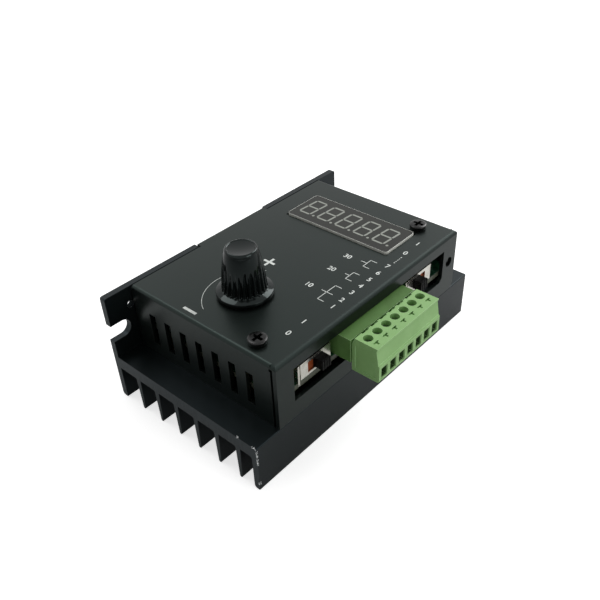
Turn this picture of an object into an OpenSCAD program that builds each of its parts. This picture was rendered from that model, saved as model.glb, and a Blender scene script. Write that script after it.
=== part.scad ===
// Bench current source module: finned heat sink, folded cover, circuit board,
// two slide switches, dial, five-digit display and a pluggable seven-way terminal.
// Case coordinates: x runs along the heat sink from its left end, y runs back from
// its front face, z runs up from the fin tips. place() moves them to the part frame.

/* [Heat sink] */
// Length of the extrusion
case_len = 96; // [90:1:104]
// Depth from the front wall to the back wall
case_depth = 56; // [55:0.5:58]
// Height of the back wall
back_height = 35; // [34.5:0.1:36]
// Height of the base plate's top face
base_top = 15; // [14.5:0.1:15.5]
// Thickness of the base plate
base_t = 3.9; // [3:0.1:4.2]
// Thickness of the back wall
back_t = 2; // [1.8:0.1:2.2]
// Thickness of the front wall
front_t = 1.9; // [1.6:0.1:2.2]
// Number of fins between the two walls
fin_count = 6; // [4:1:6]
// Distance from the front face to the first fin's middle
fin_first = 6.8; // [6:0.1:8]
// Pitch of the fins
fin_pitch = 7.86; // [7.5:0.01:7.9]
// Thickness of a fin at its root
fin_root = 1.7; // [1.5:0.1:2.2]
// Thickness of a fin at its tip
fin_tip = 0.9; // [0.8:0.1:1.4]
// Fillet on the back side of each root
fin_fillet = 0.8; // [0.5:0.1:1.5]

/* [Back wall] */
// Width of the open mounting slots
slot_w = 5.3; // [4.5:0.1:5.6]
// Depth of the mounting slots from the end
slot_deep = 6.3; // [5:0.1:7]
// Height of the mounting slots' middle
slot_z = 23.2; // [21:0.1:25]
// Width of the notch that takes the cover's tab
notch_w = 28.6; // [26:0.2:32]
// Depth of that notch
notch_deep = 1; // [0.6:0.1:1.2]
// Diameter of the small drilled hole
flange_hole_d = 2.2; // [1.6:0.1:3]

/* [Cover] */
// Thickness of the cover sheet
sheet_t = 1.2; // [1:0.1:1.2]
// Length of the cover
cover_len = 79; // [78:0.5:80]
// Outer radius of the bends
bend_r = 1.1; // [0.9:0.1:1.6]
// Number of vent slots in an end wall
vent_count = 7; // [4:1:7]
// Pitch of the vent slots
vent_pitch = 6.12; // [5.5:0.02:6.2]
// Width of a vent slot
vent_w = 2.5; // [1.5:0.1:3]
// Lower edge of the vent slots
vent_low = 18.5; // [17:0.1:20]
// Upper edge of the vent slots
vent_high = 28.6; // [26:0.1:30]
// Lower edge of the front window
window_low = 20.4; // [19.5:0.1:20.8]
// Upper edge of the front window
window_high = 31; // [31:0.1:32]
// Diameter of the small hole beside the window
side_hole_d = 3.2; // [2.5:0.1:3.5]

/* [Dial] */
// Skirt diameter of the knob
skirt_d = 15.4; // [14:0.1:16]
// Height of the knob
knob_h = 13.8; // [12:0.1:16]
// Diameter at the top of the knob
knob_top_d = 8.6; // [8.2:0.1:9.2]
// Number of flutes round the grip
flute_count = 24; // [16:1:24]
// Diameter of the shaft
shaft_d = 6; // [5.6:0.1:6]
// Full turn of the dial in degrees
dial_turn = 300; // [240:10:300]

/* [Terminal] */
// Number of wire ways
ways = 7; // [2:1:7]
// Pitch of the ways
way_pitch = 3.81; // [3.5:0.01:3.81]
// Height of the plug
plug_h = 10.7; // [10.4:0.1:11]
// Rise of a clamp as its screw is tightened
clamp_rise = 1.6; // [1:0.1:1.6]

/* [Display] */
// Number of digits
digits = 5; // [2:1:5]
// Pitch of the digits
digit_pitch = 6.95; // [6.9:0.01:7]
// Height of a digit
digit_h = 8.6; // [7.5:0.1:9]

/* [Switches] */
// Travel of a slide switch
switch_travel = 2.4; // [2:0.1:2.4]
// Width of the thumb piece
thumb_w = 3.3; // [2.6:0.1:3.3]
// How far the thumb piece stands out of its frame
thumb_out = 2.7; // [1.5:0.1:3]

/* [Hidden] */
$fn = 48;
eps = 0.01;
cover_top = back_height - notch_deep + sheet_t;
cover_in = cover_top - sheet_t;
cover_x0 = (case_len - cover_len) / 2;
cover_x1 = cover_x0 + cover_len;
cover_back = case_depth - back_t - 0.4;
plug_y1 = -12.7;
base_low = base_top - base_t;
tap_low = base_low + 0.5;
wall_corner_r = 0.7;
flange_hole_x = 7.6;
flange_hole_z = 29.4;
m3_r = 1.5;

// Front wall of the cover: window, small hole, vents' first middle and the cuts at the bends.
window_x0 = 14.5;
window_x1 = 80.9;
window_chamfer = 1.2;
side_hole_x = 84.1;
side_hole_z = 25.8;
vent_first = 9.35;
relief_w = 0.4;
relief_h = 0.9;
screw_hole_r = 1.45;
bushing_r = 3.5;

board_t = 1.6;
board_top = 23.5;
board_low = board_top - board_t;
board_y0 = 1.45;
board_y1 = 52.8;
board_x0 = cover_x0 + sheet_t + 0.6;
board_x1 = cover_x1 - sheet_t - 0.6;

// Screw posts: the two front ones reach the cover, the two back ones stop at the board.
post_x = [13, 81.5];
post_front_y = 10;
post_back_y = 46;
post_af = 4.5;
thread_r = 1.25;
post_hole_r = 1.4;

dial_x = 25.4;
dial_y = 26.6;
dial_pin_pitch = 2.5;
dial_pin_back = 7;
knob_z = cover_top + 0.6;
flat_y = shaft_d / 2 - 1.5;

term_mid = 45.7;
term_w = ways * way_pitch;
plug_low = 21;
plug_top = plug_low + plug_h;
plug_back = -4;
header_front = -3.8;
header_back = 5.4;
header_top = board_top + 7.2;
screw_y = -7.3;
head_low = plug_top - 2.8;
bar_low = plug_low + 4.3;
bar_t = 0.4;
pin_z = board_top + 3.6;
pin_t = 1;

switch_w = 11.6;
switch_y = 1.5;
switch_h = 5.1;
switch_z = board_top;
range_x = 24.3;
mode_x = 70.5;
frame_t = 0.4;
lug_w = 0.7;
lug_gap = 0.3;
switch_deep = 5.6;
switch_base_t = 1;
switch_pin_pitch = 3;
switch_pin_z = switch_z + 2.6;

display_x = 70.7;
display_y = 27.5;
display_w = 14.2;
display_len = 37.6;
display_h = 7;
display_top = cover_top + 0.6;
display_low = display_top - display_h;
display_gap = 0.3;
display_pin_pitch = 5.08;
display_r = 1;
face_t = 0.6;
face_inset = 0.12;
segment_t = 0.62;
digit_w = 4.1;
digit_lean = 4;

transistor_x = [34, 58];
transistor_y = 30;
tab_hole_y = transistor_y + 5.3;
pad_t = 0.2;
tab_t = 1.3;
package_h = 4.5;
lead_pitch = 2.54;
lead_front = 11.9;

// Capacitors on the board: middle, radius and height of each.
can_list = [[44, 42, 4, 9], [54, 42, 4, 9], [45, 21, 3.15, 7.7]];
coil_x = 21;
coil_y = 46.5;

// Moves case coordinates to the part frame: middle of the outline, underside of the fins.
module place() translate([-case_len / 2, -(case_depth + plug_y1) / 2, 0]) children();

// Box from corner to corner.
module block(low, high) translate(low) cube(high - low);

// Upright cylinder between two heights.
module post(x, y, z0, z1, r) translate([x, y, z0]) cylinder(h = z1 - z0, r = r);

// Upright hexagonal prism between two heights, by its width across flats.
module hex_post(x, y, z0, z1, af)
    translate([x, y, z0]) rotate(30) cylinder(h = z1 - z0, r = af / sqrt(3), $fn = 6);

// A profile drawn in (y, z), pulled along x.
module along_x(x0, x1) translate([x0, 0, 0]) rotate([90, 0, 90]) linear_extrude(x1 - x0) children();

// A profile drawn in (x, z), pulled along y.
module along_y(y0, y1) translate([0, y1, 0]) rotate([90, 0, 0]) linear_extrude(y1 - y0) children();

// What is cut away to round a corner at (x, y); dx and dy point out of the corner.
module round_corner(x, y, r, dx, dy)
    translate([x, y]) difference() {
        translate([dx < 0 ? -eps : -r, dy < 0 ? -eps : -r]) square(r + eps);
        translate([-r * dx, -r * dy]) circle(r);
    }

// One fin in profile: tapered, round at its tip, filleted at the back of its root.
module fin_profile(y) {
    polygon([[y - fin_root / 2, base_low + eps], [y - fin_tip / 2, fin_tip / 2],
        [y + fin_tip / 2, fin_tip / 2], [y + fin_root / 2, base_low + eps]]);
    translate([y, fin_tip / 2]) circle(fin_tip / 2);
    difference() {
        translate([y, base_low - fin_fillet]) square([fin_root / 2 + fin_fillet, fin_fillet + eps]);
        translate([y + fin_root / 2 + fin_fillet - 0.12, base_low - fin_fillet]) circle(fin_fillet);
        translate([y, base_low - 2 * fin_fillet]) square([fin_root / 2 + 2 * fin_fillet, fin_fillet]);
    }
}

// End view of the extrusion.
module sink_profile() {
    edge_r = 0.3;
    foot_r = 0.9;
    difference() {
        union() {
            translate([0, base_low]) square([case_depth, base_t]);
            square([front_t, base_top]);
            translate([case_depth - back_t, 0]) square([back_t, back_height]);
        }
        round_corner(0, base_top, edge_r, -1, 1);
        round_corner(0, 0, 0.3, -1, -1);
        round_corner(front_t, 0, foot_r, 1, -1);
        round_corner(case_depth, 0, foot_r, 1, -1);
    }
    for (i = [0:fin_count - 1]) fin_profile(fin_first + i * fin_pitch);
    // Fillet behind the front wall.
    difference() {
        translate([front_t - eps, base_low - fin_fillet]) square([fin_fillet, fin_fillet + eps]);
        translate([front_t + fin_fillet, base_low - fin_fillet]) circle(fin_fillet);
    }
}

module mounting_slot(side) {
    r = slot_w / 2;
    x = side < 0 ? slot_deep - r : case_len - slot_deep + r;
    translate([x, case_depth + 1, slot_z]) rotate([90, 0, 0]) cylinder(h = back_t + 2, r = r);
    block([side < 0 ? -1 : x, case_depth - back_t - 1, slot_z - r],
        [side < 0 ? x : case_len + 1, case_depth + 1, slot_z + r]);
}

module heat_sink() color("#26292b") difference() {
    along_x(0, case_len) sink_profile();
    for (side = [-1, 1]) mounting_slot(side);
    // Notch for the cover's tab.
    block([(case_len - notch_w) / 2, case_depth - back_t - 1, back_height - notch_deep],
        [(case_len + notch_w) / 2, case_depth + 1, back_height + 1]);
    // Rounded upper corners of the back wall.
    along_y(case_depth - back_t - 1, case_depth + 1) {
        round_corner(0, back_height, wall_corner_r, -1, 1);
        round_corner(case_len, back_height, wall_corner_r, 1, 1);
    }
    translate([flange_hole_x, case_depth + 1, flange_hole_z]) rotate([90, 0, 0])
        cylinder(h = back_t + 2, d = flange_hole_d);
    // Blind tapped holes under the posts and the transistor screws.
    for (x = post_x, y = [post_front_y, post_back_y]) post(x, y, tap_low, base_top + 1, thread_r);
    for (x = transistor_x) post(x, tab_hole_y, tap_low, base_top + 1, m3_r);
}

// Cross section of the cover's top and end walls, open below.
module hoop_profile() {
    difference() {
        translate([cover_x0, base_top]) square([cover_len, cover_top - base_top]);
        translate([cover_x0 + sheet_t, base_top - 1])
            square([cover_len - 2 * sheet_t, cover_in - base_top + 1]);
        round_corner(cover_x0, cover_top, bend_r, -1, 1);
        round_corner(cover_x1, cover_top, bend_r, 1, 1);
    }
}

// Cross section of the front wall and its bend into the top.
module front_profile(depth) difference() {
    union() {
        translate([0, base_top]) square([sheet_t, cover_top - base_top]);
        translate([0, cover_in]) square([depth, sheet_t]);
    }
    round_corner(0, cover_top, bend_r, -1, 1);
}

module front_window() polygon([[window_x0, window_low], [window_x1 - window_chamfer, window_low],
    [window_x1, window_low + window_chamfer], [window_x1, window_high], [window_x0, window_high]]);

module cover() color("#2b2e30") {
    wall_y0 = 1.9;
    tab_x0 = (case_len - notch_w) / 2 + 0.3;
    difference() {
        union() {
            along_y(wall_y0, cover_back) hoop_profile();
            along_x(cover_x0, cover_x1) front_profile(wall_y0 + eps);
            block([tab_x0, cover_back - eps, cover_in],
                [case_len - tab_x0, case_depth - 0.9, cover_top]);
        }
        // Both bends run out at the corner, with a small relief notch below them in the end wall.
        along_y(-1, wall_y0) for (side = [-1, 1])
            round_corner(side < 0 ? cover_x0 : cover_x1, cover_top, bend_r, side, 1);
        for (x = [cover_x0 - 1, cover_x1 - sheet_t - 0.1])
            block([x, sheet_t + 0.1, cover_in - relief_h], [x + sheet_t + 1.1, wall_y0 + relief_w, cover_in]);
        along_y(-1, sheet_t + 0.7) {
            front_window();
            round_corner(cover_x1, base_top, 2, 1, -1);
        }
        translate([side_hole_x, 2, side_hole_z]) rotate([90, 0, 0]) cylinder(h = 4, d = side_hole_d);
        for (side = [0, 1], i = [0:vent_count - 1])
            translate([side ? cover_x1 - 2 : cover_x0 - 1, vent_first + i * vent_pitch - vent_w / 2, vent_low])
                cube([3, vent_w, vent_high - vent_low]);
        post(dial_x, dial_y, cover_in - 1, cover_top + 1, bushing_r + 0.4);
        for (x = post_x) post(x, post_front_y, cover_in - 1, cover_top + 1, screw_hole_r);
        block([display_x - display_w / 2 - display_gap, display_y - display_len / 2 - display_gap, cover_in - 1],
            [display_x + display_w / 2 + display_gap, display_y + display_len / 2 + display_gap, cover_top + 1]);
    }
}

// Pan-head screw: flat-topped head with a broken edge, cross recess, plain shank.
module pan_screw(x, y, z, head_d, head_h, shank_r, shank_len) {
    arm = head_d * 0.31;
    slot = head_d * 0.085;
    difference() {
        translate([x, y, z]) rotate_extrude() {
            difference() {
                square([head_d / 2, head_h]);
                round_corner(head_d / 2, head_h, head_h * 0.2, 1, 1);
            }
        }
        for (turn = [0, 90]) translate([x, y, z + head_h * 0.35]) rotate(turn)
            translate([-arm, -slot, 0]) cube([2 * arm, 2 * slot, head_h]);
    }
    post(x, y, z - shank_len, z + eps, shank_r);
}

module cover_screws() color("#1b1c1d")
    for (x = post_x) pan_screw(x, post_front_y, cover_top, 5.1, 1.6, thread_r, 5);

module board_screws() color("#b9bcbc")
    for (x = post_x) pan_screw(x, post_back_y, board_top, 4.6, 1.5, thread_r, 4.6);

module tall_posts() color("#c9a552") for (x = post_x) difference() {
    union() {
        hex_post(x, post_front_y, board_top, cover_in, post_af);
        post(x, post_front_y, board_low - 3, board_top + eps, thread_r);
    }
    post(x, post_front_y, cover_in - 5.5, cover_in + 1, thread_r);
}

module short_posts() color("#c9a552") for (x = post_x, y = [post_front_y, post_back_y]) difference() {
    union() {
        hex_post(x, y, base_top, board_low, post_af);
        post(x, y, tap_low + 0.1, base_top + eps, thread_r);
    }
    post(x, y, board_low - 3.4, board_low + 1, thread_r);
}

// The slots in the board for one switch: two frame legs, three terminals and the edge notch for the lug.
module switch_holes(x) {
    lug_x = x - switch_w / 2 - lug_gap;
    block([lug_x - lug_w - 0.15, board_y0 - 1, board_low - 1],
        [lug_x + 0.15, switch_y + frame_t + 0.15, board_top + 1]);
    for (side = [-1, 1]) translate([x + side * (switch_w / 2 - 0.3), switch_y + 2.2, board_low])
        cube([0.8, 1.5, 4], center = true);
    for (i = [-1:1]) post(x + i * switch_pin_pitch, switch_y + 7.4, board_low - 1, board_top + 1, 0.6);
}

module circuit_board() color("#2f6b45") difference() {
    block([board_x0, board_y0, board_low], [board_x1, board_y1, board_top]);
    for (x = post_x, y = [post_front_y, post_back_y])
        post(x, y, board_low - 1, board_top + 1, post_hole_r);
    for (i = [0:ways - 1]) post(way_x(i), header_back - 1.2, board_low - 1, board_top + 1, 0.8);
    switch_holes(range_x);
    switch_holes(mode_x);
    for (i = [-1:1]) post(dial_x + i * dial_pin_pitch, dial_y + dial_pin_back, board_low - 1, board_top + 1, 0.6);
    for (x = transistor_x, i = [-1:1])
        post(x + i * lead_pitch, transistor_y - lead_front + 0.3, board_low - 1, board_top + 1, 0.75);
    for (i = [-3:3], side = [-1, 1]) post(display_x + side * display_pin_pitch,
        display_y + i * display_pin_pitch, board_low - 1, board_top + 1, 0.45);
}

// Power transistor lying on the base plate, its leads bent up through the board.
module transistor(x) {
    z0 = base_top + pad_t;
    y = transistor_y;
    difference() {
        union() {
            block([x - 5, y - 6.5, z0], [x + 5, y + 8.8, z0 + tab_t]);
            block([x - 5, y - 6.5, z0 + tab_t - eps], [x + 5, y + 2.2, z0 + package_h]);
        }
        post(x, tab_hole_y, z0 - 1, z0 + 3, 1.8);
        for (side = [-1, 1]) block([x + side * 5 - 0.6, y + 2.2, z0 - 1], [x + side * 5 + 0.6, y + 3.6, z0 + 3]);
    }
    for (lead_x = [x - lead_pitch, x, x + lead_pitch]) {
        block([lead_x - 0.4, y - lead_front, z0 + 2.1], [lead_x + 0.4, y - 6.5 + eps, z0 + 2.6]);
        block([lead_x - 0.4, y - lead_front, z0 + 2.1], [lead_x + 0.4, y - lead_front + 0.5, board_top + 0.9]);
    }
}

module power_transistors() color("#1e1f20") for (x = transistor_x) transistor(x);

module thermal_pads() color("#a9a49a") for (x = transistor_x) difference() {
    block([x - 5.6, transistor_y - 7.2, base_top], [x + 5.6, transistor_y + 9.4, base_top + pad_t]);
    post(x, tab_hole_y, base_top - 1, base_top + 1, 1.7);
}

module transistor_screws() color("#b9bcbc") for (x = transistor_x)
    pan_screw(x, tab_hole_y, base_top + pad_t + tab_t, 5.6, 1.9, m3_r, 4.7);

function way_x(i) = term_mid + (i - (ways - 1) / 2) * way_pitch;

// Green socket on the board: a box open to the front, with a key groove under its roof at each way.
module terminal_header() color("#5d9b4f") {
    x0 = term_mid - term_w / 2 - 0.65;
    x1 = term_mid + term_w / 2 + 0.65;
    difference() {
        block([x0, header_front, board_top], [x1, header_back, header_top]);
        block([x0 + 0.9, header_front - 1, board_top + 0.9], [x1 - 0.9, header_back - 3.4, header_top - 0.9]);
        block([x0 - 1, header_back - 2.4, header_top - 2.6], [x1 + 1, header_back + 1, header_top + 1]);
        for (i = [0:ways - 1]) {
            // Passage of the bent pin.
            block([way_x(i) - 0.5, header_back - 3.5, pin_z - 0.5],
                [way_x(i) + 0.5, header_back + 1, pin_z + 0.5]);
            block([way_x(i) - 0.5, header_back - 1.7, board_top - 1],
                [way_x(i) + 0.5, header_back + 1, pin_z + 0.5]);
            // Key groove under the roof.
            block([way_x(i) - 0.55, header_front - 1, header_top - 1],
                [way_x(i) + 0.55, header_front + 2.4, header_top - 0.45]);
        }
    }
}

module header_pins() color("#c9ccca") for (i = [0:ways - 1]) {
    x = way_x(i);
    half = pin_t / 2;
    block([x - half, header_front + 1.4, pin_z - half], [x + half, header_back - 0.7, pin_z + half]);
    block([x - half, header_back - 0.7 - pin_t, board_low - 1.8], [x + half, header_back - 0.7, pin_z]);
}

// Side view of the plug: chamfered top back edge, lipped and sloping upper front, upright lower front.
module plug_profile() polygon([[plug_back, plug_low], [plug_back, plug_top - 1.9], [plug_back - 0.8, plug_top],
    [-11.9, plug_top], [-11.9, plug_top - 0.5], [-11.6, plug_top - 0.8], [-12.3, plug_top - 5],
    [plug_y1, plug_top - 5.4], [plug_y1, plug_low + 0.5], [plug_y1 + 0.5, plug_low]]);

module plug_housing() color("#7fbf63") {
    x0 = term_mid - term_w / 2 - 0.3;
    x1 = term_mid + term_w / 2 + 0.3;
    difference() {
        union() {
            along_x(x0, x1) plug_profile();
            // Tongue that enters the header.
            block([x0 + 0.85, plug_back - eps, board_top + 1.15], [x1 - 0.85, header_back - 3.9, header_top - 1.15]);
            for (i = [0:ways - 1]) block([way_x(i) - 0.4, plug_back - eps, header_top - 1.4],
                [way_x(i) + 0.4, header_front + 2, header_top - 0.6]);
        }
        for (i = [0:ways - 1]) plug_way(way_x(i));
        // Hollows between the screw wells in the back edge.
        for (i = [0:ways - 2]) block([way_x(i) + 0.6, plug_back - 1.2, plug_top - 3.2],
            [way_x(i + 1) - 0.6, plug_back + 1, plug_top + 1]);
        // The sides step in behind a raised front edge.
        for (x = [x0 - 1, x1 - 0.2]) along_x(x, x + 1.2) polygon([[plug_back - 1, plug_low + 0.9],
            [plug_back - 1, plug_top - 2.4], [-10.6, plug_top - 0.9], [-11.6, plug_top - 5.4], [-11.6, plug_low + 0.9]]);
    }
}

// What is cut out of the plug for one wire: screw well, clamp chamber, wire funnel, test slot, pin tunnel.
module plug_way(x) {
    mouth = plug_low + 0.95;
    post(x, screw_y, head_low, plug_top + 1, 1.35);
    post(x, screw_y, plug_low + 7, head_low + eps, 1.1);
    block([x - 1.45, screw_y - 1.9, plug_low + 0.7], [x + 1.45, screw_y + 1.9, plug_low + 7.6]);
    block([x - 1.05, plug_y1, mouth + 0.25], [x + 1.05, screw_y, mouth + 3.25]);
    // Funnel mouth, wider on both axes than the passage behind it.
    intersection() {
        along_x(x - 1.35, x + 1.35) polygon([[plug_y1 - eps, mouth], [plug_y1 + 1, mouth + 0.25],
            [plug_y1 + 1, mouth + 3.25], [plug_y1 - eps, mouth + 3.5]]);
        linear_extrude(plug_top) polygon([[x - 1.35, plug_y1 - eps], [x - 1.05, plug_y1 + 1],
            [x + 1.05, plug_y1 + 1], [x + 1.35, plug_y1 - eps]]);
    }
    // T-shaped test slot behind the top edge.
    block([x - 0.95, -10, plug_top - 0.9], [x + 0.95, -9.5, plug_top + 1]);
    block([x - 0.3, -10.8, plug_top - 0.9], [x + 0.3, -9.9, plug_top + 1]);
    // Tunnel for the socket and its bar.
    block([x - 0.8, screw_y + 1.8, bar_low], [x + 0.8, plug_back + 0.4 + eps, pin_z + 0.8]);
    block([x - 0.8, plug_back, pin_z - 0.8], [x + 0.8, header_back, pin_z + 0.8]);
}

// Spring socket that grips the header pin, with a bar that reaches through the clamp.
module plug_contacts() color("#c7a15a") for (i = [0:ways - 1]) {
    x = way_x(i);
    difference() {
        block([x - 0.8, plug_back + 0.4, pin_z - 0.8], [x + 0.8, header_back - 4, pin_z + 0.8]);
        block([x - 0.56, plug_back - 1, pin_z - 0.56], [x + 0.56, header_back, pin_z + 0.56]);
    }
    block([x - 0.8, screw_y - 1.3, bar_low], [x + 0.8, plug_back + 0.4, bar_low + bar_t]);
    block([x - 0.8, plug_back, bar_low], [x + 0.8, plug_back + 0.4 + eps, pin_z - 0.56]);
}

// Slotted screw that turns in its well and bears on the bar.
module clamp_screw(i) color("#aeb2b0") {
    x = way_x(i);
    difference() {
        union() {
            post(x, screw_y, head_low, plug_top - 1.6, 1.28);
            post(x, screw_y, bar_low + bar_t + 0.05, head_low + eps, 0.95);
        }
        translate([x, screw_y, plug_top - 0.9]) rotate(35) cube([3, 0.45, 2.6], center = true);
    }
}

// Cage that climbs the screw and presses the wire up against the bar.
module wire_clamp(i) color("#b9bdbb") {
    x = way_x(i);
    low = plug_low + 0.8;
    difference() {
        block([x - 1.3, screw_y - 1.6, low], [x + 1.3, screw_y + 1.6, low + 5]);
        block([x - 0.9, screw_y - 2, low + 0.45], [x + 0.9, screw_y + 2, low + 4]);
        post(x, screw_y, low + 1, low + 6, 1);
    }
}

// Folded tin frame of a slide switch: slotted front, roof, floor, two legs and a lug at its left end.
module switch_frame(x) {
    y = switch_y;
    z0 = switch_z;
    z1 = z0 + switch_h;
    x0 = x - switch_w / 2;
    slot_len = switch_travel + thumb_w + 0.3;
    difference() {
        block([x0, y, z0], [x0 + switch_w, y + switch_deep, z1]);
        block([x0 + frame_t, y + frame_t, z0 + frame_t], [x0 + switch_w - frame_t, y + 7, z1 - frame_t]);
        block([x - slot_len / 2, y - 1, z0 + 0.8], [x + slot_len / 2, y + 1, z0 + 4.1]);
        for (end_x = [x0, x0 + switch_w]) block([end_x - 1, y + 3.1, z0 + 1], [end_x + 1, y + 7, z1 - 1]);
    }
    for (side = [-1, 1]) translate([x + side * (switch_w / 2 - 0.3), y + 2.2, board_low + 1])
        cube([0.6, 1.2, 2 * (z0 - board_low - 1) + 0.4], center = true);
    block([x0 - lug_gap - lug_w, y, board_low + 0.1], [x0 - lug_gap, y + frame_t, z1 - 0.1]);
    block([x0 - lug_gap - lug_w, y + frame_t - eps, z0 + 1.5], [x0 + eps, y + 2 * frame_t, z0 + 3.5]);
}

// Laminate base that closes the back of the frame, with holes for its terminals.
module switch_base(x) {
    y = switch_y + switch_deep;
    difference() {
        block([x - switch_w / 2, y, switch_z], [x + switch_w / 2, y + switch_base_t, switch_z + switch_h]);
        for (i = [-1:1]) translate([x + i * switch_pin_pitch, y - 1, switch_pin_z])
            rotate([-90, 0, 0]) cylinder(h = 3, r = 0.5);
    }
}

module switch_terminals(x) {
    y = switch_y + switch_deep;
    for (pin_x = [x - switch_pin_pitch, x, x + switch_pin_pitch]) {
        translate([pin_x, y - 0.4, switch_pin_z]) rotate([-90, 0, 0]) cylinder(h = 2.7, r = 0.5);
        translate([pin_x, y - 0.4, switch_pin_z]) rotate([-90, 0, 0]) cylinder(h = 0.4, r = 0.9);
        block([pin_x - 0.3, y + 1.55, board_low - 1], [pin_x + 0.3, y + 2.05, switch_pin_z]);
    }
}

// Moulded slider; shift is the side of its slot that the thumb piece rests at.
module switch_thumb(x, shift) {
    xs = x + shift * switch_travel / 2;
    y = switch_y;
    z0 = switch_z;
    difference() {
        union() {
            block([xs - 3.9, y + frame_t + 0.1, z0 + 0.6], [xs + 3.9, y + 3.3, z0 + switch_h - 0.6]);
            block([xs - thumb_w / 2, y - thumb_out, z0 + 0.95],
                [xs + thumb_w / 2, y + frame_t + 0.2, z0 + 3.95]);
        }
        for (rib_x = [xs - 0.9, xs, xs + 0.9])
            block([rib_x - 0.15, y - thumb_out - 1, z0], [rib_x + 0.15, y - thumb_out + 0.3, z0 + 5]);
        block([xs - 2.9, y + 2.6, z0 + 1.7], [xs + 2.9, y + 4, z0 + 3.5]);
    }
}

// Sprung bridge in the back of the slider, wiping over the terminal heads.
module switch_bridge(x, shift) {
    xs = x + shift * switch_travel / 2;
    y = switch_y;
    z0 = switch_z;
    block([xs - 2.9, y + 2.6, z0 + 1.7], [xs + 2.9, y + 2.85, z0 + 3.5]);
    for (arm_x = [xs - 1.5, xs + 1.5])
        block([arm_x - 0.5, y + 2.85 - eps, z0 + 2], [arm_x + 0.5, y + 5.05, z0 + 3.2]);
}

module range_switch_frame() color("#d9dad6") switch_frame(range_x);
module range_switch_base() color("#a5622d") switch_base(range_x);
module range_switch_terminals() color("#c9ccca") switch_terminals(range_x);
module range_switch_thumb() color("#151515") switch_thumb(range_x, 1);
module range_switch_bridge() color("#c7a15a") switch_bridge(range_x, 1);
module mode_switch_frame() color("#d9dad6") switch_frame(mode_x);
module mode_switch_base() color("#a5622d") switch_base(mode_x);
module mode_switch_terminals() color("#c9ccca") switch_terminals(mode_x);
module mode_switch_thumb() color("#151515") switch_thumb(mode_x, -1);
module mode_switch_bridge() color("#c7a15a") switch_bridge(mode_x, -1);

// Push-on knob: thin skirt, tapering grip with flutes that run out below its smooth top, dished cap.
module knob() color("#0d0d0e") {
    grip_z = 1.3;
    grip_r = 6.15;
    top_r = knob_top_d / 2;
    flute_r = 0.5;
    flute_floor = 5.45;
    dish_r = 20;
    bore_top = 11;
    difference() {
        translate([dial_x, dial_y, knob_z]) rotate_extrude($fn = 72) difference() {
            polygon([[0, 0], [skirt_d / 2 - 0.2, 0], [skirt_d / 2, 0.3], [skirt_d / 2 - 0.15, 0.7],
                [grip_r + 0.5, grip_z], [grip_r, grip_z + 0.2], [grip_r - 0.25, 4], [grip_r - 0.6, 8],
                [top_r + 0.75, 10.5], [top_r + 0.2, 12.6], [top_r, knob_h - 0.5],
                [top_r - 0.3, knob_h], [0, knob_h]]);
            translate([0, knob_h + dish_r - 0.4]) circle(dish_r, $fn = 120);
        }
        for (i = [0:flute_count - 1]) translate([dial_x, dial_y, knob_z + grip_z + 0.4])
            rotate((i + 0.5) * 360 / flute_count) translate([flute_floor + flute_r, 0, 0])
                cylinder(h = knob_h, r = flute_r, $fn = 24);
        intersection() {
            post(dial_x, dial_y, knob_z - 1, knob_z + bore_top, shaft_d / 2);
            block([dial_x - 5, dial_y - 5, knob_z - 1], [dial_x + 5, dial_y + flat_y, knob_z + bore_top + 1]);
        }
        post(dial_x, dial_y, knob_z - 1, knob_z + 0.8, 3.6);
    }
}

// Shaft with a flat, a collar inside the housing and the wiper disc.
module dial_shaft() color("#b4b7b6") difference() {
    union() {
        post(dial_x, dial_y, board_top + 3, knob_z + 11, shaft_d / 2);
        post(dial_x, dial_y, board_top + 3, board_top + 4.2, 4.2);
    }
    block([dial_x - 5, dial_y + flat_y, knob_z], [dial_x + 5, dial_y + 5, knob_z + 12]);
}

// Die-cast housing and bushing; the bushing comes up through the cover.
module dial_housing() color("#9fa3a2") difference() {
    union() {
        block([dial_x - 5.6, dial_y - 5.5, board_top + 1.6], [dial_x + 5.6, dial_y + 6.5, board_top + 7]);
        post(dial_x, dial_y, board_top + 7 - eps, cover_top + 0.2, bushing_r);
    }
    post(dial_x, dial_y, board_top, cover_top + 1, shaft_d / 2 + 0.05);
    post(dial_x, dial_y, board_top + 1, board_top + 4.5, 4.6);
}

module dial_base() color("#7a4a22")
    block([dial_x - 5.6, dial_y - 5.5, board_top], [dial_x + 5.6, dial_y + 7.8, board_top + 1.6]);

module dial_terminals() color("#c9ccca") for (i = [-1:1])
    post(dial_x + i * dial_pin_pitch, dial_y + dial_pin_back, board_low - 1.4, board_top, 0.4);

// Outline of the display seen from above, drawn in by an inset.
module display_outline(inset) {
    x = display_w / 2 - inset;
    y = display_len / 2 - inset;
    r = display_r - inset;
    translate([display_x, display_y]) difference() {
        translate([-x, -y]) square([2 * x, 2 * y]);
        for (dx = [-1, 1], dy = [-1, 1]) round_corner(dx * x, dy * y, r, dx, dy);
    }
}

module display_housing() color("#b9b9b4") difference() {
    translate([0, 0, display_low]) linear_extrude(display_h) display_outline(0);
    translate([0, 0, display_top - face_t]) linear_extrude(face_t + 1) display_outline(face_inset);
}

// One straight segment of a digit, lying along the first axis.
module segment_bar(len) {
    half = segment_t / 2;
    polygon([[-len / 2, 0], [-len / 2 + half, -half], [len / 2 - half, -half], [len / 2, 0],
        [len / 2 - half, half], [-len / 2 + half, half]]);
}

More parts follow.
